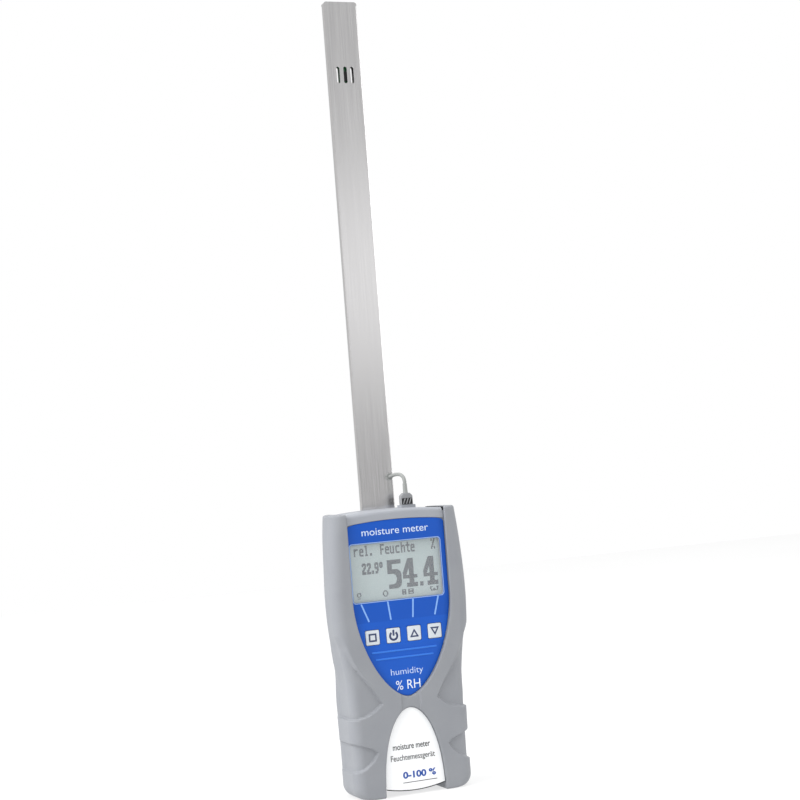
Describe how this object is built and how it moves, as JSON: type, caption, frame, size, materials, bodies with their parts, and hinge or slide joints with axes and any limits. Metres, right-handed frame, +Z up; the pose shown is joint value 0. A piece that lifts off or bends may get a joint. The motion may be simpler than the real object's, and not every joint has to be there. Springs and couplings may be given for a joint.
{
  "type": "hand-held moisture meter",
  "caption": "Hand-held moisture meter in a grey rubber cover, with a display, square keys and a long flat metal sword probe joined by a short plug-in cable.",
  "frame": {"origin": "middle of the box's footprint, on the surface that the two legs of the cover stand on", "axes": "+Z up along the sword to its tip, -Y out of the display, +X to the right of the display"},
  "size_m": [0.0786, 0.0319, 0.435],
  "materials": {
    "cover_rubber": "soft grey rubber with a fine matt grain",
    "housing_plastic": "light grey moulded plastic, fine spark texture",
    "seal_rubber": "black cord seal",
    "screw_steel": "bright zinc-plated steel",
    "blue_foil": "satin printed keypad foil, royal blue",
    "clear_pane": "clear window, slightly glossy",
    "display_face": "grey-green reflective liquid crystal face with dark segments",
    "black_plastic": "black moulded plastic",
    "light_panel": "milky diffuser",
    "circuit_board": "green circuit board with a solder mask",
    "part_plastic": "tan and black small parts",
    "contact_metal": "bright nickel-plated sheet and wire",
    "key_plastic": "pale grey key caps with dark blue marks",
    "white_label": "satin white label",
    "plug_plastic": "mid-grey moulded plug",
    "grip_rubber": "dark grip ribs and grommet",
    "cable_sheath": "grey cable sheath, smooth",
    "sword_metal": "bright metal, brushed along its length",
    "clamp_plastic": "dark grey moulded bracket",
    "cell_jacket": "foil jacket, plain, bright metal ends"
  },
  "bodies": {
    "housing": {"rubber_cover": "cover_rubber", "front_shell": "housing_plastic", "rear_shell": "housing_plastic", "housing_seal": "seal_rubber", "housing_screws": "screw_steel", "keypad_membrane": "blue_foil", "display_pane": "clear_pane", "display_glass": "display_face", "display_frame": "black_plastic", "backlight": "light_panel", "main_board": "circuit_board", "board_screws": "screw_steel", "processor_chip": "black_plastic", "board_parts": "part_plastic", "buzzer": "black_plastic", "key_switches": "contact_metal", "front_label": "white_label", "plug_socket": "contact_metal", "socket_collar": "housing_plastic", "plug_shell": "contact_metal", "plug_body": "plug_plastic", "plug_grip": "grip_rubber", "plug_relief": "cable_sheath", "sensor_cable": "cable_sheath", "cable_grommet": "grip_rubber", "sensor_lead": "cable_sheath", "sword_tube": "sword_metal", "sword_tip_cap": "sword_metal", "sword_end_plug": "black_plastic", "sensor_board": "circuit_board", "humidity_sensor": "black_plastic", "sword_clamp": "clamp_plastic", "clamp_screws": "screw_steel", "battery_cells": "cell_jacket", "battery_springs": "contact_metal", "battery_contacts": "contact_metal"},
    "menu_button": {"key_menu": "key_plastic"},
    "power_button": {"key_power": "key_plastic"},
    "up_button": {"key_up": "key_plastic"},
    "down_button": {"key_down": "key_plastic"},
    "door": {"battery_door": "housing_plastic", "door_plate": "white_label"}
  },
  "joints": [
    {"name": "menu_press", "type": "slide", "parent": "housing", "child": "menu_button", "axis": [0, 1, 0], "range_m": [0, 0.0005], "stiffness_N_per_m": 1500, "springref_m": -0.0002},
    {"name": "power_press", "type": "slide", "parent": "housing", "child": "power_button", "axis": [0, 1, 0], "range_m": [0, 0.0005], "stiffness_N_per_m": 1500, "springref_m": -0.0002},
    {"name": "up_press", "type": "slide", "parent": "housing", "child": "up_button", "axis": [0, 1, 0], "range_m": [0, 0.0005], "stiffness_N_per_m": 1500, "springref_m": -0.0002},
    {"name": "down_press", "type": "slide", "parent": "housing", "child": "down_button", "axis": [0, 1, 0], "range_m": [0, 0.0005], "stiffness_N_per_m": 1500, "springref_m": -0.0002},
    {"name": "door_slide", "type": "slide", "parent": "housing", "child": "door", "axis": [0, 0, -1], "range_m": [0, 0.06]}
  ]
}
